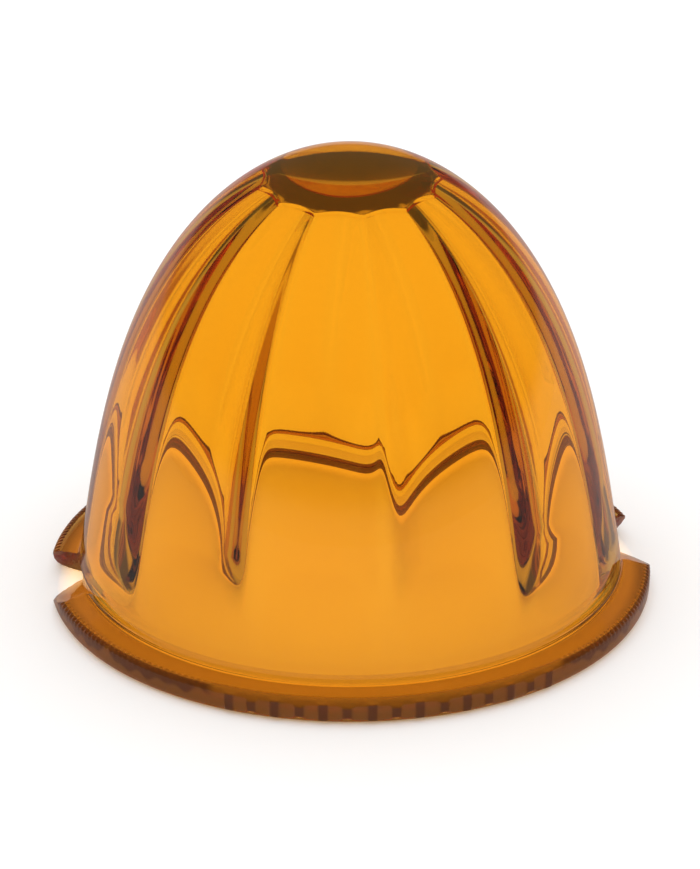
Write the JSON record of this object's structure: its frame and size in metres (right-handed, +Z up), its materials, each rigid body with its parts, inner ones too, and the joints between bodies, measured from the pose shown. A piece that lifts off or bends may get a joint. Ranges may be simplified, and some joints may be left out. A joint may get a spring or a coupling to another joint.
{
  "type": "marker lamp lens",
  "caption": "Hollow amber glass lens for a small round marker lamp: a fluted dome with a flat crown on a notched mounting flange.",
  "frame": {"origin": "centre of the flange's flat seat", "axes": "+Z up the dome's axis from the seat to the crown, -Y towards the marked front of the flange, +X towards the right-hand notch"},
  "size_m": [0.0754, 0.0762, 0.0564],
  "materials": {
    "amber_glass": "clear pressed glass, fire polished"
  },
  "bodies": {
    "root": {"glass_lens": "amber_glass"}
  },
  "joints": []
}
